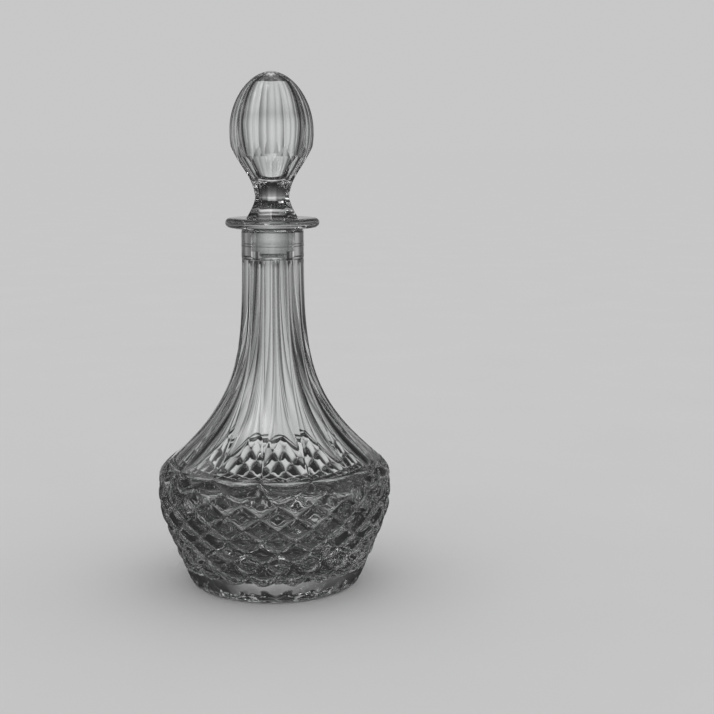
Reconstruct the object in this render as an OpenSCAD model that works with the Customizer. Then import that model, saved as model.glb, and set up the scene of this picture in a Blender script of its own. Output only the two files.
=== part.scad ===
// Cut crystal decanter with a faceted glass stopper and a soft seal cup on its peg.
// Origin at the centre of the base on the table, +Z up the axis, one rib of the
// shoulder towards -Y. Millimetres.

/* [Decanter] */
// Height of the flat lip above the table
lip_h = 215.3; // [210:0.1:222]
// Radius of the straight foot cone where it meets the table
foot_r = 52.9; // [50:0.1:56]
// Outward lean of the foot cone, radius per height
cone_slope = 0.385; // [0.36:0.005:0.4]
// Largest radius, at the belt
belt_r = 71.2; // [70:0.1:74]
// Height of the belt
belt_z = 60; // [58:0.5:61]
// Radius of the neck on its ribs
neck_r = 18.5; // [18:0.1:20]
// Height of the foot of the plain collar under the lip
collar_z = 198.6; // [195:0.1:201]

/* [Cutting] */
// Flutes round the shoulder and neck, an even number
flutes = 14; // [12:2:16]
// Depth of a flute on the neck
neck_flute = 1; // [0.6:0.1:1.3]
// Extra depth of a flute on the shoulder
shoulder_flute = 0.7; // [0.5:0.1:2]
// Height of the points where the ribs end
node_z = 76; // [75:0.5:77]
// Drop of the lens shaped cut below those points
lens_drop = 6.5; // [5:0.1:7]
// Half the height of one diamond
row_h = 7.35; // [7.2:0.05:7.4]
// Height of the upper row of full diamonds
top_row_z = 63.5; // [63:0.1:64]
// Depth of the grooves between the diamonds
relief = 2.4; // [2:0.1:3.6]

/* [Inside] */
// Height of the inner floor
floor_z = 12; // [10:0.5:14]
// Radius of the bore below the seal
bore_r = 8.4; // [8.3:0.1:9]
// Wall between the belt and the inside
belt_wall = 7.6; // [7:0.1:9]

/* [Stopper] */
// Height of the whole decanter with its stopper
total_h = 309; // [305:0.5:314]
// Largest radius of the knob on its edges
knob_r = 25.1; // [23:0.1:27]
// Facets round the knob
facets = 10; // [8:2:12]
// Smallest radius of the stem on its edges
stem_r = 10.2; // [9.5:0.1:11.5]
// Radius of the disc that closes the neck
disc_r = 28.2; // [26:0.1:30]
// Radius of the glass peg under the disc
peg_r = 6.9; // [6:0.1:7]
// Thickness of glass round the bubble in the knob
knob_wall = 4.6; // [4:0.1:5.4]
// Turn of the knob against the rib that faces -Y, degrees
knob_turn = 7; // [0:1:36]

/* [Seal] */
// Outer radius of the seal at the lip
seal_r = 8.55; // [8.4:0.05:8.6]
// Length of the seal below the lip
seal_h = 15.2; // [14:0.1:16]
// Running gap on each side of the seal
gap = 0.06; // [0.04:0.01:0.08]

/* [Hidden] */
$fn = 96;
GLASS = [0.86, 0.9, 0.91, 0.55];
POLYTHENE = [0.9, 0.91, 0.9, 0.9];

// ---- helpers ----
function clamp01(x) = max(0, min(1, x));
function mix(a, b, t) = a + (b - a) * t;
// Cubic between two stations [height, radius, slope]
function hermite(z, a, b) =
    let (h = b[0] - a[0], t = clamp01((z - a[0]) / h))
    (2*t^3 - 3*t^2 + 1) * a[1] + (t^3 - 2*t^2 + t) * h * a[2]
    + (3*t^2 - 2*t^3) * b[1] + (t^3 - t^2) * h * b[2];
// Sweep from radius r0 down to r1 as the height u above its start grows
function sweep(u, r0, r1, a, b) = r1 + (r0 - r1) * exp(-a * u - b * u^2);
// Points on an arc about [r, z]
function arc(r, z, rad, from, to, n) =
    [for (i = [0:n]) let (t = mix(from, to, i / n)) [r + rad * cos(t), z + rad * sin(t)]];

// ---- outside of the uncut blank ----
foot_round = 3;
node_r = belt_r - 6.3;
node_slope = -1.155;
corner_z = node_z - 8;
cone_end = belt_z - 19;
sweep_a = 0.0249;
sweep_b = 0.000205;
CONE = [cone_end, foot_r + cone_slope * cone_end, cone_slope];
BELT = [belt_z, belt_r, 0];
CORNER = [corner_z, belt_r - 0.4, -0.12];
NODE = [node_z, node_r, node_slope];
function blank_r(z) =
    z < foot_round ? foot_r + cone_slope * z - foot_round + sqrt(foot_round^2 - (foot_round - z)^2)
    : z < cone_end ? foot_r + cone_slope * z
    : z < belt_z ? hermite(z, CONE, BELT)
    : z < corner_z ? hermite(z, BELT, CORNER)
    : z < node_z ? hermite(z, CORNER, NODE)
    : sweep(z - node_z, node_r, neck_r, sweep_a, sweep_b);

// ---- cutting ----
diamonds = flutes * 3 / 2;
scallop_z = top_row_z - 6 * row_h;
scallop = 3.9;
foot_rise = 3.5;
foot_depth = 0.7;
lens_hollow = 1.8;
flute_fade = 2.5;
// The flutes are deepest flute_peak above the rib points, over a height of flute_spread
flute_peak = 14;
flute_spread = 26;
// Power that makes the sides of a diamond steep and its top nearly flat
crown_power = 3.8;
// Share of the relief that is left in the stretched row above top_row_z
top_share = 0.3;
groove_fade = 2.5;
// Share of the full flute depth, from 0 on a rib to 1 half way between two ribs
function across(phi) = let (q = flutes * phi / 360, w = 2 * abs(q - round(q))) 1 - (1 - w)^2;
// Flute depth at a height, fading out under the collar
function flute_d(z) =
    (neck_flute + shoulder_flute * exp(-((z - node_z - flute_peak) / flute_spread)^2))
    * clamp01((collar_z - z) / flute_fade);
// Upper end of the diamonds: the lower edge of the lens cuts
function lens_edge(phi) = node_z - lens_drop * across(phi);
// Rows of diamonds counted up from top_row_z, the last one stretched to the lens cuts
function rows_up(phi, z) = (z - top_row_z) / (z < top_row_z ? row_h : lens_edge(phi) - top_row_z);
// Distance from the nearest groove of one family, 0 in the groove and 1 half way
function off_groove(x) = 2 * abs(x - floor(x) - 0.5);
function swell(s) = 1 - (1 - s)^2;
function smooth(s) = let (t = clamp01(s)) t * t * (3 - 2 * t);
function crown(s) = 1 - (1 - s)^crown_power;
// Height of the diamond above its grooves, 0 to 1
function pillow(phi, z) =
    let (a = diamonds * phi / 360, v = rows_up(phi, z))
    crown(off_groove(a + v / 2)) * crown(off_groove(a - v / 2));
// Lower end of the diamonds: a line of scallops that hang from the last row
function scallop_line(phi) = scallop_z - scallop * abs(cos(180 * diamonds * phi / 360));
function lattice_depth(phi, z) =
    let (low = scallop_line(phi))
    z >= scallop_z ? relief * (1 - pillow(phi, z)) * clamp01((lens_edge(phi) - z) / groove_fade)
                     * mix(1, top_share, smooth(2 * rows_up(phi, z)))
    : z >= low ? relief * (1 - pillow(phi, scallop_z) * swell((z - low) / max(0.01, scallop_z - low)))
    : mix(relief, foot_depth, swell(clamp01((low - z) / foot_rise)));
// Concave lens cut between two rib points
function lens_r(phi, z) =
    let (p = across(phi), drop = max(0.01, lens_drop * p), t = (node_z - z) / drop)
    t > 1 ? blank_r(z) + relief
    : mix(node_r - flute_d(node_z) * p, blank_r(node_z - drop), t) - 4 * lens_hollow * p * t * (1 - t);
function skin_r(phi, z) =
    z >= node_z ? blank_r(z) - flute_d(z) * across(phi)
    : min(lens_r(phi, z), blank_r(z) - lattice_depth(phi, z));

// ---- outer skin as one closed mesh ----
columns = 6 * flutes;
shoulder_rows = 15;
foot_rows = [0, 1, foot_round, 8, 12, 15.5];
lattice_rows = [for (k = [-12:0]) top_row_z + k * row_h / 2];
belt_rows = [for (k = [1:3]) mix(top_row_z, node_z, k / 4)];
neck_rows = [for (k = [0:shoulder_rows]) mix(node_z, collar_z, (k / shoulder_rows)^1.4)];
ROWS = concat(foot_rows, lattice_rows, belt_rows, neck_rows);
function ring(z) =
    [for (j = [0:columns - 1]) let (phi = j * 360 / columns, r = skin_r(phi, z))
        [r * sin(phi), -r * cos(phi), z]];
// The diagonal of each cell alternates, so that grooves fall on edges of the mesh
function cell(n, j) =
    let (k = (j + 1) % columns, bl = n * columns + j, br = n * columns + k,
         tl = bl + columns, tr = br + columns)
    (n + j) % 2 == 0 ? [[bl, tl, tr], [bl, tr, br]] : [[bl, tl, br], [tl, tr, br]];
module cut_skin() {
    top = len(ROWS) - 1;
    points = [for (z = ROWS) each ring(z)];
    sides = [for (n = [0:top - 1], j = [0:columns - 1]) each cell(n, j)];
    base = [for (j = [0:columns - 1]) j];
    roof = [for (j = [columns - 1:-1:0]) top * columns + j];
    polyhedron(points, concat(sides, [base, roof]), convexity = 8);
}

// ---- plain collar and lip ----
collar_r = neck_r + 0.25;
seam_z = lip_h - 8.6;
lip_edge = 0.4;
module collar() {
    rotate_extrude()
        polygon([[0, collar_z - 0.5], [collar_r, collar_z - 0.5], [collar_r, seam_z - 0.3],
                 [collar_r + 0.15, seam_z], [collar_r, seam_z + 0.3], [collar_r, lip_h - lip_edge],
                 [collar_r - lip_edge, lip_h], [0, lip_h]]);
}

// ---- inside ----
floor_round = 14;
inner_a = 0.0222;
inner_b = 0.000139;
wall_turn = atan(cone_slope);
floor_r = foot_r + cone_slope * floor_z - belt_wall - floor_round - 3.5;
WALL_FOOT = [floor_z + floor_round * (1 - sin(wall_turn)), floor_r + floor_round * cos(wall_turn), cone_slope];
WALL_BELT = [belt_z - 4, belt_r - belt_wall, 0];
WALL_CORNER = [corner_z - 2, belt_r - belt_wall - 0.7, -0.15];
WALL_NODE = [node_z, node_r - 7, -1.1];
// The wall is a little thicker where the shoulder turns into the neck
wall_swell = 1.3;
wall_swell_z = node_z + 13;
wall_swell_spread = 20;
function wall_r(z) = plain_wall_r(z) - wall_swell * exp(-((z - wall_swell_z) / wall_swell_spread)^2);
function plain_wall_r(z) =
    z < WALL_BELT[0] ? hermite(z, WALL_FOOT, WALL_BELT)
    : z < WALL_CORNER[0] ? hermite(z, WALL_BELT, WALL_CORNER)
    : z < node_z ? hermite(z, WALL_CORNER, WALL_NODE)
    : sweep(z - node_z, WALL_NODE[1], bore_r, inner_a, inner_b);
seat_z = lip_h - seal_h;
mouth_r = seal_r + gap + 0.4;
module cavity() {
    belly = [for (k = [0:7]) let (z = mix(WALL_FOOT[0], node_z, k / 7)) [wall_r(z), z]];
    shoulder = [for (k = [1:14]) let (z = mix(node_z, seat_z - 4, (k / 14)^1.3)) [wall_r(z), z]];
    rotate_extrude()
        polygon(concat([[0, floor_z]], arc(floor_r, floor_z + floor_round, floor_round, -90, -wall_turn, 6),
                       [for (k = [1:7]) belly[k]], shoulder,
                       [[bore_r, seat_z - 1], [seal_r + gap, lip_h - 1], [mouth_r, lip_h],
                        [mouth_r, lip_h + 1], [0, lip_h + 1]]));
}
recess_r = 43;
recess_z = 2.2;
rays = 24;
ray_depth = 2.4;
ray_reach = 41;
ray_corners = 2 * rays;
// Shallow recess under the base, its roof cut into a star of V pleats
module base_star() {
    translate([0, 0, -1]) cylinder(h = recess_z + 1, r1 = recess_r + 1, r2 = recess_r - 1);
    heights = [recess_z + ray_depth, recess_z - 0.2];
    around = [for (i = [0:ray_corners - 1]) ray_reach * [cos(180 * i / rays), sin(180 * i / rays)]];
    upper = [for (i = [0:ray_corners - 1]) [around[i][0], around[i][1], heights[i % 2]]];
    lower = [for (p = around) [p[0], p[1], -1]];
    n = ray_corners;
    roof = [for (i = [1:n]) [0, i % n + 1, i]];
    sides = [for (i = [1:n]) [i, i % n + 1, i % n + 1 + n, i + n]];
    under = [for (i = [1:n]) i + n];
    polyhedron(concat([[0, 0, recess_z - 0.05]], upper, lower), concat(roof, sides, [under]));
}
fan_z = 11;
fan_depth = 0.8;
fan_lean = cone_slope + fan_depth / fan_z;
fan_wide = 16;
fan_thick = 6;
// Flat facets round the foot, wide at the table and running out above
module foot_fans() {
    for (i = [0:rays - 1])
        rotate([0, 0, (i + 0.5) * 360 / rays])
            translate([0, foot_depth - foot_r - cone_slope * fan_z, fan_z])
                rotate([atan(fan_lean), 0, 0])
                    translate([-fan_wide / 2, -fan_thick, -fan_z - 5])
                        cube([fan_wide, fan_thick, fan_z + 8]);
}
module decanter_body() {
    color(GLASS) difference() {
        union() {
            cut_skin();
            collar();
        }
        cavity();
        base_star();
        foot_fans();
    }
}

// ---- soft seal cup on the glass peg ----
cup_round = 2.4;
cup_floor = 1.4;
seal_taper = 0.4;
peg_end = seat_z + cup_floor;
module stopper_seal() {
    color(POLYTHENE) rotate_extrude()
        polygon(concat([[0, seat_z]], arc(seal_r - seal_taper - cup_round, seat_z + cup_round, cup_round, -90, 0, 8),
                       [[seal_r, lip_h - 1], [seal_r - 0.2, lip_h - 0.3], [peg_r + gap, lip_h - 0.3],
                        [peg_r + gap, peg_end - gap], [0, peg_end - gap]]));
}

// ---- faceted knob and stem ----
disc_z = lip_h + 0.1;
disc_top = disc_z + 7.6;
edge_half = 180 / facets;
stem_z = disc_top + 12.4;
stem_mid_r = stem_r * cos(edge_half) + 0.35;
knob_reach = 24;
widest_z = total_h - 35;
top_power = 1.9;
top_blunt = 0.53;
draw_in = 0.0039;
draw_power = 2.4;
// Edge radius of the knob: an egg, blunt above and drawn in below down to its points
function knob_edge(z) =
    let (u = (z - widest_z) / (total_h - widest_z), low = max(z, widest_z - knob_reach))
    z > widest_z ? knob_r * (1 - u^top_power)^top_blunt : knob_r - draw_in * (widest_z - low)^draw_power;
// Middle radius of the lower facets that rise from the waist to the knob
WAIST = [stem_z, stem_mid_r, 0.1];
RISE = [stem_z + 14, stem_mid_r + 5, 0.62];
SWELL = [stem_z + 25, stem_mid_r + 11.8, 0.56];
MEET = [stem_z + 34, stem_mid_r + 16, 0.4];
flare_rate = 0.142;
flare_power = 1.45;
function stem_mid(z) =
    z < stem_z ? stem_mid_r + flare_rate * (stem_z - z)^flare_power
    : z < RISE[0] ? hermite(z, WAIST, RISE)
    : z < SWELL[0] ? hermite(z, RISE, SWELL)
    : hermite(z, SWELL, MEET) + max(0, z - MEET[0]);
// Radius of a ring of flat facets with the middle radius m
function flat_r(m, turn) = m / cos(turn);
function from_mid(phi) = phi - 2 * edge_half * round(phi / (2 * edge_half));
function knob_surface(phi, z) =
    min(flat_r(knob_edge(z) * cos(edge_half), from_mid(phi)),
        flat_r(stem_mid(z), from_mid(phi + edge_half)));
knob_columns = 4 * facets;
knob_rows = 36;
tip_r = 0.6;
module knob() {
    z0 = disc_top - 1;
    heights = [for (n = [0:knob_rows]) mix(z0, total_h, 1 - (1 - n / knob_rows)^1.25)];
    rings = [for (z = heights) [for (j = [0:knob_columns - 1])
        let (phi = j * 360 / knob_columns, r = max(tip_r, knob_surface(phi, z)))
            [r * sin(phi), -r * cos(phi), z]]];
    points = [for (r = rings) each r];
    C = knob_columns;
    sides = [for (n = [0:knob_rows - 1], j = [0:C - 1])
        let (k = (j + 1) % C, bl = n * C + j, br = n * C + k)
            each [[bl, bl + C, br + C], [bl, br + C, br]]];
    base = [for (j = [0:C - 1]) j];
    roof = [for (j = [C - 1:-1:0]) knob_rows * C + j];
    polyhedron(points, concat(sides, [base, roof]), convexity = 6);
}
// Closed bubble inside the blown knob, domed above and dished below
void_top = total_h - 3;
void_mid = total_h - 25;
void_low = disc_top + 34;
void_z = disc_top + 24;
dish_power = 0.7;
// The glass round the bubble grows towards the stem and thins towards the top
foot_glass = 2;
top_thin = 1.6;
function void_wall(z) =
    min(knob_edge(z) * cos(edge_half), stem_mid(z)) - knob_wall
    - foot_glass * smooth((void_mid - z) / (void_mid - void_low))
    + top_thin * smooth((z - void_mid) / (void_top - void_mid));
module bubble() {
    dish = [for (k = [0:8]) let (t = mix(-90, 0, k / 8), z = void_low + (void_low - void_z) * sin(t))
        [min(void_wall(void_low) * cos(t)^dish_power, void_wall(z)), z]];
    side = [for (k = [1:11]) let (z = mix(void_low, void_mid, k / 12)) [void_wall(z), z]];
    dome = [for (k = [0:12]) let (t = mix(0, 90, k / 12), z = void_mid + (void_top - void_mid) * sin(t))
        [min(void_wall(void_mid) * cos(t), void_wall(z)), z]];
    rotate_extrude()
        polygon(concat(dish, side, dome));
}
rim_round = 2.85;
rim_r = disc_r - rim_round;
under_rise = 1.6;
module disc_and_peg() {
    rotate_extrude()
        polygon(concat([[0, peg_end], [peg_r - 0.8, peg_end], [peg_r, peg_end + 0.8], [peg_r, disc_z],
                        [collar_r, disc_z], [disc_r - 4.2, disc_z + under_rise]],
                       arc(rim_r, disc_top - rim_round, rim_round, -84, 90, 10), [[0, disc_top]]));
}
module stopper() {
    color(GLASS) difference() {
        union() {
            rotate([0, 0, knob_turn]) knob();
            disc_and_peg();
        }
        bubble();
    }
}

decanter_body();
stopper_seal();
stopper();
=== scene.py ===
import math

import bmesh
import bpy
import numpy as np
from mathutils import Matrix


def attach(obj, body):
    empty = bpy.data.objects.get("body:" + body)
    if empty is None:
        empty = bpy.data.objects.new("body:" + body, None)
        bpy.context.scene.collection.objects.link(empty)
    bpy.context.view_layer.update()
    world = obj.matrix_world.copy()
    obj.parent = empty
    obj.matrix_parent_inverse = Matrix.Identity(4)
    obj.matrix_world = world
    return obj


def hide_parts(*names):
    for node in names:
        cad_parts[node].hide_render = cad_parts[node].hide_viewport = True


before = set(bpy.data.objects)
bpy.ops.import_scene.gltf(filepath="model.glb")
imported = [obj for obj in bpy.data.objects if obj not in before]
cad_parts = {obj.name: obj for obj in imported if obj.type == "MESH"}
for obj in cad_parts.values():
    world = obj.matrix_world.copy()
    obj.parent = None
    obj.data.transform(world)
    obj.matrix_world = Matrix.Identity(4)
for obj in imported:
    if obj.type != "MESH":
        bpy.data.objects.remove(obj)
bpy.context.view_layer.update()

MM = 0.001

# ---- sizes, millimetres, as in the CAD ----
LIP_H = 215.3
FOOT_R = 52.9
CONE_SLOPE = 0.385
BELT_R = 71.2
BELT_Z = 60.0
NECK_R = 18.5
COLLAR_Z = 198.6
FLUTES = 14
DIAMONDS = 21
NECK_FLUTE = 1.0
SHOULDER_FLUTE = 0.7
FLUTE_PEAK = 14.0
FLUTE_SPREAD = 26.0
FLUTE_FADE = 2.5
NODE_Z = 76.0
LENS_DROP = 6.5
LENS_HOLLOW = 1.8
ROW_H = 7.35
TOP_ROW_Z = 63.5
RELIEF = 2.4
CROWN = 3.8
TOP_SHARE = 0.3
ROWS = 6
SCALLOP_Z = TOP_ROW_Z - ROWS * ROW_H
SCALLOP = 3.9
FOOT_ROUND = 3.0
FOOT_DEPTH = 0.7
FOOT_RISE = 3.5
FAN_Z = 11.0
FAN_DEPTH = 0.8
FLOOR_Z = 12.0
FLOOR_ROUND = 14.0
BORE_R = 8.4
BELT_WALL = 7.6
SEAL_R = 8.55
SEAL_H = 15.2
GAP = 0.06
PRESS = 0.05
TOTAL_H = 309.0
KNOB_R = 25.1
FACETS = 10
STEM_R = 10.2
DISC_R = 28.2
PEG_R = 6.9
KNOB_TURN = 7.0
RECESS_Z = 2.2
RAYS = 24
RAY_DEPTH = 2.4
RAY_REACH = 41.0
RING_R = 46.5
NODE_R = BELT_R - 6.3
CORNER_Z = NODE_Z - 8
CONE_END = BELT_Z - 19
COLLAR_R = NECK_R + 0.25
SEAM_Z = LIP_H - 8.6
SEAM = 0.15
LIP_ROUND = 0.8
SEAT_Z = LIP_H - SEAL_H
CUP_FLOOR = 1.4


# ---- curves ----
def unit(x):
    return np.clip(x, 0.0, 1.0)


def mix(a, b, t):
    return a + (b - a) * t


def swell(s):
    return 1 - (1 - s) ** 2


def smooth(s):
    s = unit(s)
    return s * s * (3 - 2 * s)


def hermite(z, a, b):
    """Cubic between two stations (height, radius, slope)."""
    h = b[0] - a[0]
    t = unit((z - a[0]) / h)
    start = (2 * t**3 - 3 * t**2 + 1) * a[1] + (t**3 - 2 * t**2 + t) * h * a[2]
    return start + (3 * t**2 - 2 * t**3) * b[1] + (t**3 - t**2) * h * b[2]


def sweep(u, r0, r1, a, b):
    return r1 + (r0 - r1) * np.exp(-a * u - b * u * u)


def arc(r, z, radius, start, end, count):
    """Points (r, z) of an arc, its angles in degrees."""
    turn = np.radians(np.linspace(start, end, count))
    return [(r + radius * math.cos(t), z + radius * math.sin(t)) for t in turn]


# ---- outside of the decanter ----
CONE = (CONE_END, FOOT_R + CONE_SLOPE * CONE_END, CONE_SLOPE)
BELT = (BELT_Z, BELT_R, 0.0)
CORNER = (CORNER_Z, BELT_R - 0.4, -0.12)
NODE = (NODE_Z, NODE_R, -1.155)


def blank_r(z):
    """Radius of the uncut blank."""
    z = np.asarray(z, float)
    foot = np.clip(FOOT_ROUND - z, 0, FOOT_ROUND)
    cone = FOOT_R + CONE_SLOPE * z - FOOT_ROUND + np.sqrt(FOOT_ROUND**2 - foot**2)
    up = np.maximum(z - NODE_Z, 0)
    parts = [
        (z < CONE_END, cone),
        (z < BELT_Z, hermite(z, CONE, BELT)),
        (z < CORNER_Z, hermite(z, BELT, CORNER)),
        (z < NODE_Z, hermite(z, CORNER, NODE)),
    ]
    shoulder = sweep(up, NODE_R, NECK_R, 0.0249, 0.000205)
    return np.select([p[0] for p in parts], [p[1] for p in parts], shoulder)


def from_rib(phi):
    """0 on a rib, 1 half way between two ribs."""
    q = FLUTES * phi / 360
    return 2 * np.abs(q - np.round(q))


def flute_depth(z):
    deep = NECK_FLUTE + SHOULDER_FLUTE * np.exp(-(((z - NODE_Z - FLUTE_PEAK) / FLUTE_SPREAD) ** 2))
    return deep * unit((COLLAR_Z - z) / FLUTE_FADE)


def off_groove(x):
    return 2 * np.abs(x - np.floor(x) - 0.5)


def crown(s):
    """Section of a diamond from its groove to its middle: steep sides and a nearly flat top."""
    return 1 - (1 - s) ** CROWN


def pillow(phi, v):
    a = DIAMONDS * phi / 360
    return crown(off_groove(a + v / 2)) * crown(off_groove(a - v / 2))


PER_DIAMOND = 16
COLUMNS = DIAMONDS * PER_DIAMOND
PER_FLUTE = COLUMNS // FLUTES
STEP = PER_DIAMOND // 2
PHI = np.arange(COLUMNS) * 360 / COLUMNS
LENS_EDGE = NODE_Z - LENS_DROP * swell(from_rib(PHI))
# Half the width of the flat band on a rib, and the height over which it grows
BAND = 2.3
BAND_GROWS = 34.0
BAND_COLUMNS = 3


class Profile:
    """Rows of points round the axis, from the first pole to the last."""

    def __init__(self, columns):
        self.phi = np.arange(columns) * 360 / columns
        self.rows = []
        self.cut = []

    def add(self, r, z, phi=None, cut=None):
        """One row. cut is its number among the rows of diamonds."""
        phi = self.phi if phi is None else phi
        turn = np.radians(phi)
        r, z = np.broadcast_to(r, phi.shape), np.broadcast_to(z, phi.shape)
        self.rows.append(np.stack([r * np.sin(turn), -r * np.cos(turn), z], axis=1))
        self.cut.append(cut)

    def mesh(self, name):
        """A closed mesh of the rows, in metres, with its poles filled."""
        count = len(self.phi)
        points = [p for row in self.rows for p in row * MM]
        faces = [tuple(range(count))[::-1]]
        for n in range(len(self.rows) - 1):
            for j in range(count):
                k = (j + 1) % count
                bl, br = n * count + j, n * count + k
                tl, tr = bl + count, br + count
                if self.cut[n] is None:
                    faces.append((bl, br, tr, tl))
                    continue
                rise, fall = (j - self.cut[n]) % PER_DIAMOND, (j + 1 + self.cut[n]) % PER_DIAMOND
                if abs(rise - STEP) < abs(fall - STEP):
                    faces += [(bl, br, tr), (bl, tr, tl)]
                else:
                    faces += [(bl, br, tl), (br, tr, tl)]
        last = (len(self.rows) - 1) * count
        faces.append(tuple(range(last, last + count)))
        mesh = bpy.data.meshes.new(name)
        mesh.from_pydata(points, [], faces)
        bm = bmesh.new()
        bm.from_mesh(mesh)
        bmesh.ops.remove_doubles(bm, verts=bm.verts, dist=2e-6)
        bmesh.ops.dissolve_degenerate(bm, edges=bm.edges, dist=1e-7)
        poles = [f for f in bm.faces if len(f.verts) > 4]
        for f in poles:
            bmesh.ops.poke(bm, faces=[f])
        bm.to_mesh(mesh)
        bm.free()
        return mesh


POLE_R = 0.6
GROOVE_FADE = 2.5


def base_rows(skin):
    """Shallow recess under the base with a star of V cuts, then the flat foot ring."""
    ray = 360 / RAYS
    off = np.abs(skin.phi - ray * np.round(skin.phi / ray)) / (ray / 2)
    for r in np.linspace(POLE_R, RAY_REACH, 14):
        skin.add(r, RECESS_Z + RAY_DEPTH * (1 - off) * r / RAY_REACH)
    step = [(RAY_REACH + 0.2, RECESS_Z), (RAY_REACH + 1, RECESS_Z - 0.2), (RAY_REACH + 2.2, 0.2)]
    for r, z in step + [(RAY_REACH + 2.8, 0), (RING_R, 0)]:
        skin.add(r, z)


def fan(phi, z):
    """Flat facets round the foot, wide at the table and running out above."""
    ray = 360 / RAYS
    off = np.radians(phi - ray * (np.floor(phi / ray) + 0.5))
    lean = CONE_SLOPE + FAN_DEPTH / FAN_Z
    flat = FOOT_R - FOOT_DEPTH + CONE_SLOPE * FAN_Z - lean * (FAN_Z - z)
    return np.maximum(0, blank_r(z) - FOOT_DEPTH - flat / np.cos(off))


def foot_rows(skin):
    """The foot from the table up to the scallops that the lowest diamonds hang in."""
    low = SCALLOP_Z - SCALLOP * np.abs(np.cos(np.radians(180 * DIAMONDS * skin.phi / 360)))
    for turn in np.linspace(0, 90, 7):
        z = FOOT_ROUND * (1 - math.cos(math.radians(turn)))
        skin.add(blank_r(z) - FOOT_DEPTH - fan(skin.phi, z), z)
    for z in (4, 5.5, 7, 8.5, 10, 11):
        skin.add(blank_r(z) - FOOT_DEPTH - fan(skin.phi, z), z)
    for below in (FOOT_RISE, 2.6, 1.8, 1.1, 0.5):
        z = low - below
        skin.add(blank_r(z) - mix(RELIEF, FOOT_DEPTH, swell(below / FOOT_RISE)), z)
    for part in (0.0, 0.25, 0.5, 0.75):
        z = mix(low, SCALLOP_Z, part)
        skin.add(blank_r(z) - RELIEF * (1 - pillow(skin.phi, -ROWS) * swell(part)), z)


def lattice_rows(skin):
    """Six rows of half diamonds, and the row stretched up to the lens cuts."""
    for n in range(-ROWS * STEP, STEP + 1):
        v = n / STEP
        z = TOP_ROW_Z + v * (ROW_H if v < 0 else LENS_EDGE - TOP_ROW_Z)
        share = unit((LENS_EDGE - z) / GROOVE_FADE) * mix(1, TOP_SHARE, smooth(v * 2))
        skin.add(blank_r(z) - RELIEF * (1 - pillow(skin.phi, v)) * share, z, cut=n if n < STEP else None)


def lens_rows(skin):
    """Hollow lens shaped cuts between the rib points."""
    p = swell(from_rib(skin.phi))
    rim = blank_r(LENS_EDGE)
    top = NODE_R - flute_depth(NODE_Z) * p
    for t in np.linspace(1, 0, 11)[1:]:
        r = mix(top, rim, t) - 4 * LENS_HOLLOW * p * t * (1 - t)
        skin.add(r, mix(NODE_Z, LENS_EDGE, t))


def shoulder_rows(skin):
    """Flutes between flat ribs, which narrow to a point at the lens cuts."""
    k = np.arange(COLUMNS) % PER_FLUTE
    side = np.where(k > PER_FLUTE // 2, -1, 1)
    k = np.where(k > PER_FLUTE // 2, PER_FLUTE - k, k)
    rib = np.round(FLUTES * skin.phi / 360 - side * 1e-6)
    half = PER_FLUTE // 2
    for s in np.linspace(0, 1, 80)[1:]:
        z = mix(NODE_Z, COLLAR_Z, s**1.25)
        blank = float(blank_r(z))
        band = BAND * float(smooth((z - NODE_Z) / BAND_GROWS)) / (math.pi * blank / FLUTES)
        inside = band * k / BAND_COLUMNS
        outside = mix(band, 1, (k - BAND_COLUMNS) / (half - BAND_COLUMNS))
        fitted = np.where(k <= BAND_COLUMNS, inside, outside)
        w = mix(k / half, fitted, float(smooth((z - NODE_Z) / FLUTE_PEAK)))
        phi = (rib + side * w / 2) * 360 / FLUTES
        cut = swell(unit((w - band) / (1 - band)))
        skin.add(blank - flute_depth(z) * cut, z, phi=phi)


def collar_rows(skin):
    """The plain collar with its mould seam, and the rounded lip."""
    ring = [(NECK_R, COLLAR_Z + 0.25), (COLLAR_R, COLLAR_Z + 0.9), (COLLAR_R, SEAM_Z - 0.35)]
    ring += [(COLLAR_R + SEAM, SEAM_Z - 0.1), (COLLAR_R + SEAM, SEAM_Z + 0.1)]
    ring += [(COLLAR_R, SEAM_Z + 0.35), (COLLAR_R, LIP_H - LIP_ROUND - 0.4)]
    ring += arc(COLLAR_R - LIP_ROUND, LIP_H - LIP_ROUND, LIP_ROUND, 0, 90, 6)
    for r, z in ring:
        skin.add(r, z)


WALL_TURN = math.atan(CONE_SLOPE)
FLOOR_R = FOOT_R + CONE_SLOPE * FLOOR_Z - BELT_WALL - FLOOR_ROUND - 3.5
WALL_FOOT = (
    FLOOR_Z + FLOOR_ROUND * (1 - math.sin(WALL_TURN)),
    FLOOR_R + FLOOR_ROUND * math.cos(WALL_TURN),
    CONE_SLOPE,
)
WALL_BELT = (BELT_Z - 4, BELT_R - BELT_WALL, 0.0)
WALL_CORNER = (CORNER_Z - 2, BELT_R - BELT_WALL - 0.7, -0.15)
WALL_NODE = (NODE_Z, NODE_R - 7, -1.1)
WALL_SWELL = 1.3
WALL_SWELL_Z = NODE_Z + 13
WALL_SWELL_SPREAD = 20.0


def wall_r(z):
    """Radius of the inside, with the wall a little thicker at the foot of the shoulder."""
    return plain_wall_r(z) - WALL_SWELL * math.exp(-(((z - WALL_SWELL_Z) / WALL_SWELL_SPREAD) ** 2))


def plain_wall_r(z):
    if z < WALL_BELT[0]:
        return hermite(z, WALL_FOOT, WALL_BELT)
    if z < WALL_CORNER[0]:
        return hermite(z, WALL_BELT, WALL_CORNER)
    if z < NODE_Z:
        return hermite(z, WALL_CORNER, WALL_NODE)
    return sweep(z - NODE_Z, WALL_NODE[1], BORE_R, 0.0222, 0.000139)


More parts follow.
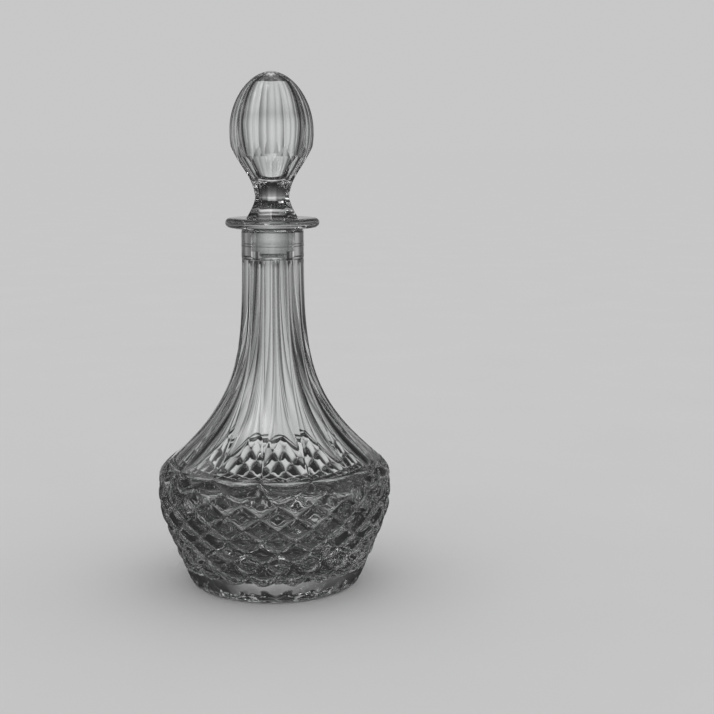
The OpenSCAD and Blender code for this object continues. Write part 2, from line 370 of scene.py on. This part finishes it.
def cavity_rows(skin):
    """The bore, the shoulder and the belly inside, from the lip down to the floor."""
    bore = SEAL_R + GAP
    for r, z in [(bore + 0.5, LIP_H), (bore + 0.15, LIP_H - 0.15), (bore, LIP_H - 1)]:
        skin.add(r, z)
    skin.add(BORE_R + 0.02, SEAT_Z - 1)
    for s in np.linspace(1, 0, 34):
        z = mix(NODE_Z, SEAT_Z - 4, s**1.3)
        skin.add(wall_r(z), z)
    for z in np.linspace(NODE_Z, WALL_FOOT[0], 22)[1:]:
        skin.add(wall_r(z), z)
    for r, z in arc(FLOOR_R, FLOOR_Z + FLOOR_ROUND, FLOOR_ROUND, -math.degrees(WALL_TURN), -90, 14)[1:]:
        skin.add(r, z)
    for r in (18, 10, 4, 1):
        skin.add(r, FLOOR_Z)


def decanter_mesh():
    skin = Profile(COLUMNS)
    base_rows(skin)
    foot_rows(skin)
    lattice_rows(skin)
    lens_rows(skin)
    shoulder_rows(skin)
    collar_rows(skin)
    cavity_rows(skin)
    return skin.mesh("decanter_glass")


# ---- stopper ----
DISC_Z = LIP_H + 0.1
DISC_TOP = DISC_Z + 7.6
EDGE_HALF = 180 / FACETS
STEM_Z = DISC_TOP + 12.4
STEM_MID = STEM_R * math.cos(math.radians(EDGE_HALF)) + 0.35
WIDEST_Z = TOTAL_H - 35
WAIST = (STEM_Z, STEM_MID, 0.1)
RISE = (STEM_Z + 14, STEM_MID + 5, 0.62)
SWELL = (STEM_Z + 25, STEM_MID + 11.8, 0.56)
MEET = (STEM_Z + 34, STEM_MID + 16, 0.4)
EDGE_CUT = 0.12
TOP_POWER = 1.9
TOP_BLUNT = 0.53
DRAW_IN = 0.0039
DRAW_POWER = 2.4
KNOB_REACH = 24.0
FLARE_RATE = 0.142
FLARE_POWER = 1.45
BULLNOSE = 2.85
UNDER_RISE = 1.6


def knob_edge(z):
    """Radius of the knob on its edges: an egg, blunt above and drawn in below."""
    u = np.clip((z - WIDEST_Z) / (TOTAL_H - WIDEST_Z), 0, 1)
    low = np.clip(z, WIDEST_Z - KNOB_REACH, WIDEST_Z)
    upper = KNOB_R * (1 - u**TOP_POWER) ** TOP_BLUNT
    return np.where(z > WIDEST_Z, upper, KNOB_R - DRAW_IN * (WIDEST_Z - low) ** DRAW_POWER)


def stem_mid(z):
    """Middle radius of the facets that rise from the disc past the waist to the knob."""
    flare = STEM_MID + FLARE_RATE * np.maximum(STEM_Z - z, 0) ** FLARE_POWER
    top = hermite(z, SWELL, MEET) + np.maximum(0, z - MEET[0])
    parts = [
        (z < STEM_Z, flare),
        (z < RISE[0], hermite(z, WAIST, RISE)),
        (z < SWELL[0], hermite(z, RISE, SWELL)),
    ]
    return np.select([p[0] for p in parts], [p[1] for p in parts], top)


def facet_r(middle, off):
    """Radius of a ring of flat facets, its edges cut back a hair so that they catch the light."""
    turn = np.radians(off)
    edge = middle / math.cos(math.radians(EDGE_HALF)) - EDGE_CUT
    return np.minimum(middle / np.cos(turn), edge)


def off_middle(phi):
    return phi - 2 * EDGE_HALF * np.round(phi / (2 * EDGE_HALF))


def upper_facets(phi, z):
    return facet_r(knob_edge(z) * math.cos(math.radians(EDGE_HALF)), off_middle(phi))


def lower_facets(phi, z):
    return facet_r(stem_mid(z), off_middle(phi + EDGE_HALF))


def meeting_line(phi):
    """Height at which the lower facets run into the upper ones, found by halving."""
    low, high = np.full(phi.shape, STEM_Z + 5.0), np.full(phi.shape, WIDEST_Z + 6.0)
    for _ in range(40):
        middle = (low + high) / 2
        inside = lower_facets(phi, middle) < upper_facets(phi, middle)
        low, high = np.where(inside, middle, low), np.where(inside, high, middle)
    return (low + high) / 2


def under_rows(skin):
    """The peg from its end up, the disc's underside and its round rim."""
    end = SEAT_Z + CUP_FLOOR
    rows = [(1, end), (PEG_R - 0.8, end), (PEG_R - 0.25, end + 0.2), (PEG_R, end + 0.8)]
    rows += [(PEG_R, SEAT_Z + 8), (PEG_R, DISC_Z - 0.3)]
    rows += [(PEG_R + 0.3, DISC_Z), (13, DISC_Z), (COLLAR_R, DISC_Z), (DISC_R - 4.2, DISC_Z + UNDER_RISE)]
    rows += arc(DISC_R - BULLNOSE, DISC_TOP - BULLNOSE, BULLNOSE, -84, 90, 16)
    for r, z in rows:
        skin.add(r, z)


def knob_rows(skin, local):
    """The lower facets up to the line where they meet the upper ones, then the upper ones."""
    line = meeting_line(local)
    foot = lower_facets(local, np.full(local.shape, DISC_TOP))
    for t in (0.35, 0.7, 0.92):
        skin.add(mix(DISC_R - BULLNOSE, foot, t), DISC_TOP)
    for s in np.linspace(0, 1, 56):
        z = mix(DISC_TOP, line, s)
        skin.add(lower_facets(local, z), z)
    for s in np.linspace(0, 1, 74)[1:]:
        z = mix(line, TOTAL_H, swell(s))
        skin.add(np.maximum(POLE_R, upper_facets(local, z)), z)


def stopper_mesh():
    steps = np.array([-17.1, -14.5, -11, -7, -3.5, -0.3, 0, 0.3, 3.5, 7, 11, 14.5, 17.1, 18])
    local = np.concatenate([steps + 2 * EDGE_HALF * n for n in range(FACETS)])
    skin = Profile(len(local))
    skin.phi = local + KNOB_TURN
    under_rows(skin)
    knob_rows(skin, local)
    mesh = skin.mesh("stopper_glass")
    add_void(mesh)
    return mesh


VOID_Z = 247.0
VOID_LOW = 257.0
VOID_MID = 284.0
VOID_TOP = 306.0
KNOB_WALL = 4.6
FOOT_GLASS = 2.0
TOP_THIN = 1.6
DISH_POWER = 0.7


def void_wall(z):
    """Radius of the bubble's side; the glass round it grows downwards and thins upwards."""
    glass = KNOB_WALL + FOOT_GLASS * smooth((VOID_MID - z) / (VOID_MID - VOID_LOW))
    glass -= TOP_THIN * smooth((z - VOID_MID) / (VOID_TOP - VOID_MID))
    return float(min(knob_edge(z) * math.cos(math.radians(EDGE_HALF)), stem_mid(z)) - glass)


def add_void(mesh):
    """The closed bubble inside the blown knob, its faces turned inwards."""
    void = Profile(96)
    for turn in np.linspace(88, 0, 24):
        t = math.radians(turn)
        z = VOID_MID + (VOID_TOP - VOID_MID) * math.sin(t)
        void.add(min(void_wall(VOID_MID) * math.cos(t), void_wall(z)), z)
    for z in np.linspace(VOID_MID, VOID_LOW, 30)[1:]:
        void.add(void_wall(z), z)
    for turn in np.linspace(0, -88, 16)[1:]:
        t = math.radians(turn)
        z = VOID_LOW + (VOID_LOW - VOID_Z) * math.sin(t)
        void.add(min(void_wall(VOID_LOW) * math.cos(t) ** DISH_POWER, void_wall(z)), z)
    bm = bmesh.new()
    bm.from_mesh(mesh)
    bm.from_mesh(void.mesh("void"))
    bm.to_mesh(mesh)
    bm.free()


def seal_mesh():
    """A cup pressed between the bore and the peg: it meets both, as soft plastic does."""
    skin = Profile(120)
    out, bore, corner = SEAL_R + GAP + PRESS, PEG_R - PRESS, 2.4
    wall = [(2, SEAT_Z), (4, SEAT_Z)]
    wall += arc(out - 0.2 - corner, SEAT_Z + corner, corner, -90, 0, 10)
    wall += [(out - 0.1, SEAT_Z + 8), (out, LIP_H - 1), (out - 0.05, LIP_H - 0.5), (out - 0.2, LIP_H - 0.3)]
    wall += [(bore + 0.2, LIP_H - 0.3), (bore, LIP_H - 0.5), (bore, SEAT_Z + 8), (bore, SEAT_Z + 2.1)]
    wall += [(bore - 0.7, SEAT_Z + CUP_FLOOR + 0.02), (2, SEAT_Z + CUP_FLOOR + 0.02)]
    for r, z in wall:
        skin.add(r, z)
    return skin.mesh("seal_cup")


# ---- materials ----
def new_material(name):
    mat = bpy.data.materials.new(name)
    mat.use_nodes = True
    return mat, mat.node_tree, mat.node_tree.nodes["Principled BSDF"]


def noise(tree, scale, detail):
    coords = tree.nodes.new("ShaderNodeTexCoord")
    node = tree.nodes.new("ShaderNodeTexNoise")
    node.inputs["Scale"].default_value = scale
    node.inputs["Detail"].default_value = detail
    tree.links.new(coords.outputs["Object"], node.inputs["Vector"])
    return node.outputs["Fac"]


def ramp(tree, value, low, high):
    node = tree.nodes.new("ShaderNodeMapRange")
    node.inputs["To Min"].default_value = low
    node.inputs["To Max"].default_value = high
    tree.links.new(value, node.inputs["Value"])
    return node.outputs["Result"]


def tint(tree, value, dark, light):
    node = tree.nodes.new("ShaderNodeMix")
    node.data_type = "RGBA"
    node.inputs["A"].default_value = (*dark, 1)
    node.inputs["B"].default_value = (*light, 1)
    tree.links.new(value, node.inputs["Factor"])
    return node.outputs["Result"]


def bump(tree, value, strength, distance):
    node = tree.nodes.new("ShaderNodeBump")
    node.inputs["Strength"].default_value = strength
    node.inputs["Distance"].default_value = distance
    tree.links.new(value, node.inputs["Height"])
    return node.outputs["Normal"]


def crystal():
    mat, tree, shader = new_material("crystal")
    shader.inputs["IOR"].default_value = 1.54
    shader.inputs["Transmission Weight"].default_value = 1.0
    streaks = noise(tree, 28, 2)
    colour = tint(tree, streaks, (0.955, 0.965, 0.962), (0.985, 0.99, 0.988))
    tree.links.new(colour, shader.inputs["Base Color"])
    tree.links.new(ramp(tree, noise(tree, 70, 3), 0.0, 0.012), shader.inputs["Roughness"])
    tree.links.new(bump(tree, noise(tree, 90, 2), 0.25, 0.00012), shader.inputs["Normal"])
    return mat


def seal_plastic():
    mat, tree, shader = new_material("seal_plastic")
    shader.inputs["IOR"].default_value = 1.5
    shader.inputs["Transmission Weight"].default_value = 1.0
    cloud = noise(tree, 240, 3)
    colour = tint(tree, cloud, (0.93, 0.935, 0.93), (0.97, 0.975, 0.97))
    tree.links.new(colour, shader.inputs["Base Color"])
    tree.links.new(ramp(tree, cloud, 0.1, 0.2), shader.inputs["Roughness"])
    tree.links.new(bump(tree, noise(tree, 900, 2), 0.15, 0.0001), shader.inputs["Normal"])
    return mat


def floor_material():
    mat, tree, shader = new_material("floor")
    colour = tint(tree, noise(tree, 9, 3), (0.70, 0.70, 0.70), (0.73, 0.73, 0.73))
    tree.links.new(colour, shader.inputs["Base Color"])
    shader.inputs["Roughness"].default_value = 0.6
    shader.inputs["Specular IOR Level"].default_value = 0.0
    return mat


def glow(name, level):
    mat = bpy.data.materials.new(name)
    mat.use_nodes = True
    tree = mat.node_tree
    tree.nodes.clear()
    light = tree.nodes.new("ShaderNodeEmission")
    light.inputs["Color"].default_value = (level, level, level, 1)
    out = tree.nodes.new("ShaderNodeOutputMaterial")
    tree.links.new(light.outputs["Emission"], out.inputs["Surface"])
    return mat


# ---- pieces ----
def place(name, mesh, mat, body, node, fold):
    piece = bpy.data.objects.new(name, mesh)
    bpy.context.collection.objects.link(piece)
    mesh.materials.append(mat)
    mesh.polygons.foreach_set("use_smooth", [True] * len(mesh.polygons))
    mesh.set_sharp_from_angle(angle=math.radians(fold))
    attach(piece, body)
    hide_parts(node)
    return piece


glass = crystal()
place("decanter_glass", decanter_mesh(), glass, "decanter", "decanter_body", 17)
place("stopper_glass", stopper_mesh(), glass, "stopper", "stopper", 10)
place("seal_cup", seal_mesh(), seal_plastic(), "seal", "stopper_seal", 35)


# ---- studio ----
def sheet(name, corners, mat, camera=True, light=True):
    """A flat staged card through its corners, in metres."""
    mesh = bpy.data.meshes.new(name)
    mesh.from_pydata(corners, [], [tuple(range(len(corners)))])
    card = bpy.data.objects.new(name, mesh)
    bpy.context.collection.objects.link(card)
    mesh.materials.append(mat)
    card.visible_camera = camera
    card.visible_diffuse = light
    card.visible_shadow = light
    card.visible_volume_scatter = light
    return card


def level_sheet(name, x, y, z, mat, **seen):
    return sheet(name, [(x[0], y[0], z), (x[1], y[0], z), (x[1], y[1], z), (x[0], y[1], z)], mat, **seen)


FLOOR_SPAN = (-60, 60)
FLOOR_Z_M = -0.0002
MAT_ACROSS = (-0.6, 0.6)
MAT_ALONG = (-0.35, 0.302)
MAT_Z_M = -0.0001
MAT_LEVEL = 0.025


def staging():
    """The pale floor, and the dark card that the glass shows in its place."""
    floor = level_sheet("floor", FLOOR_SPAN, FLOOR_SPAN, FLOOR_Z_M, floor_material())
    floor.visible_transmission = floor.visible_glossy = False
    dark = glow("dark_mat", MAT_LEVEL)
    level_sheet("dark_mat", MAT_ACROSS, MAT_ALONG, MAT_Z_M, dark, camera=False, light=False)


staging()


BACKDROP = 0.575
FLOOR_LIGHT = 0.8
FILL = 0.018
# azimuth from +Y towards +X, elevation, width (degrees), level
GLOWS = [
    (-4.1, -10.0, 19, 0.7),
    (86, 0, 10, 0.45), (176, 0, 16, 0.45), (266, 0, 10, 0.45),
    (-42, -7, 18, 0.28), (38, -7, 15, 0.14),
    (41, -5, 6, 0.15), (131, -5, 14, 0.45), (221, -5, 14, 0.45), (311, -5, 6, 0.15),
    (0, 70, 14, 0.9), (-150, 55, 9, 4.5), (-118, 30, 9, 2.6), (112, 24, 7, 1.4), (-60, 40, 6, 1.2),
]


def toward(azimuth, elevation):
    a, e = math.radians(azimuth), math.radians(elevation)
    return (math.sin(a) * math.cos(e), math.cos(a) * math.cos(e), math.sin(e))


def math_node(tree, kind, a, b=None):
    node = tree.nodes.new("ShaderNodeMath")
    node.operation = kind
    for socket, value in zip(node.inputs, (a, b)):
        if value is None:
            continue
        if isinstance(value, (int, float)):
            socket.default_value = value
        else:
            tree.links.new(value, socket)
    return node.outputs["Value"]


def glow_at(tree, coords, direction, width, level):
    """A round soft glow: level * exp(-(angle / width)^2), by 1 - cos of the angle."""
    dot = tree.nodes.new("ShaderNodeVectorMath")
    dot.operation = "DOT_PRODUCT"
    dot.inputs[1].default_value = direction
    tree.links.new(coords.outputs["Generated"], dot.inputs[0])
    off = math_node(tree, "SUBTRACT", 1.0, dot.outputs["Value"])
    power = math_node(tree, "MULTIPLY", off, -2.0 / math.radians(width) ** 2)
    return math_node(tree, "MULTIPLY", math_node(tree, "EXPONENT", power), level)


def choose(tree, flag, a, b):
    node = tree.nodes.new("ShaderNodeMix")
    node.data_type = "FLOAT"
    tree.links.new(flag, node.inputs["Factor"])
    for socket, value in (("A", a), ("B", b)):
        if isinstance(value, (int, float)):
            node.inputs[socket].default_value = value
        else:
            tree.links.new(value, node.inputs[socket])
    return node.outputs["Result"]


def world_light():
    """Even light on the floor, an even backdrop, and soft glows for what the glass shows."""
    world = bpy.data.worlds.new("studio")
    bpy.context.scene.world = world
    world.use_nodes = True
    world.cycles.sampling_method = "NONE"
    tree = world.node_tree
    coords = tree.nodes.new("ShaderNodeTexCoord")
    path = tree.nodes.new("ShaderNodeLightPath")
    lit = FILL
    for azimuth, elevation, width, level in GLOWS:
        lit = math_node(tree, "ADD", glow_at(tree, coords, toward(azimuth, elevation), width, level), lit)
    seen = choose(tree, path.outputs["Is Camera Ray"], lit, BACKDROP)
    back = tree.nodes["Background"]
    back.inputs["Color"].default_value = (1, 1, 1, 1)
    tree.links.new(choose(tree, path.outputs["Is Diffuse Ray"], seen, FLOOR_LIGHT), back.inputs["Strength"])


world_light()


LENS = 67.0
SENSOR = 36.0
CAMERA_AT = (0.10206, -0.79377, 0.267)
LOOK_DOWN = 9.138
LOOK_LEFT = 3.698


def camera():
    data = bpy.data.cameras.new("camera")
    data.lens = LENS
    data.sensor_width = SENSOR
    cam = bpy.data.objects.new("camera", data)
    bpy.context.collection.objects.link(cam)
    cam.location = CAMERA_AT
    cam.rotation_euler = (math.radians(90 - LOOK_DOWN), 0, math.radians(LOOK_LEFT))
    data.clip_start, data.clip_end = 0.01, 50
    bpy.context.scene.camera = cam


camera()
scene = bpy.context.scene
scene.view_settings.view_transform = "Standard"
scene.cycles.max_bounces = 32
scene.cycles.transmission_bounces = 28
scene.cycles.glossy_bounces = 20
scene.cycles.caustics_reflective = False
scene.cycles.blur_glossy = 0.3
